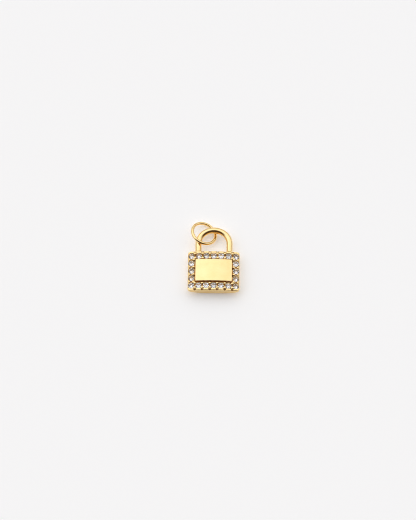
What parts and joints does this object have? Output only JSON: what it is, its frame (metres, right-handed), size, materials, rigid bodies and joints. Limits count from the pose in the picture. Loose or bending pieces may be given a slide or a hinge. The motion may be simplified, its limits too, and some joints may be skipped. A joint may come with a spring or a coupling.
{
  "type": "padlock pendant",
  "caption": "Small padlock pendant with a raised plain plate in a border of clear stones, a round shackle and a wire jump ring, lying on its back.",
  "frame": {"origin": "middle of the flat strip down the lock's back, where it rests on the table", "axes": "+X to the right seen from the front, +Y from the lock towards the shackle, +Z out of the front"},
  "size_m": [0.0112, 0.0162, 0.003],
  "materials": {
    "gold_casting": "polished yellow gold plate over a casting",
    "gold_wire": "polished yellow gold plate over wire",
    "clear_stone": "polished clear facets"
  },
  "bodies": {
    "root": {"lock_body": "gold_casting", "stone_01": "clear_stone", "stone_02": "clear_stone", "stone_03": "clear_stone", "stone_04": "clear_stone", "stone_05": "clear_stone", "stone_06": "clear_stone", "stone_07": "clear_stone", "stone_08": "clear_stone", "stone_09": "clear_stone", "stone_10": "clear_stone", "stone_11": "clear_stone", "stone_12": "clear_stone", "stone_13": "clear_stone", "stone_14": "clear_stone", "stone_15": "clear_stone", "stone_16": "clear_stone", "stone_17": "clear_stone", "stone_18": "clear_stone", "stone_19": "clear_stone", "stone_20": "clear_stone", "jump_ring": "gold_wire"}
  },
  "joints": []
}
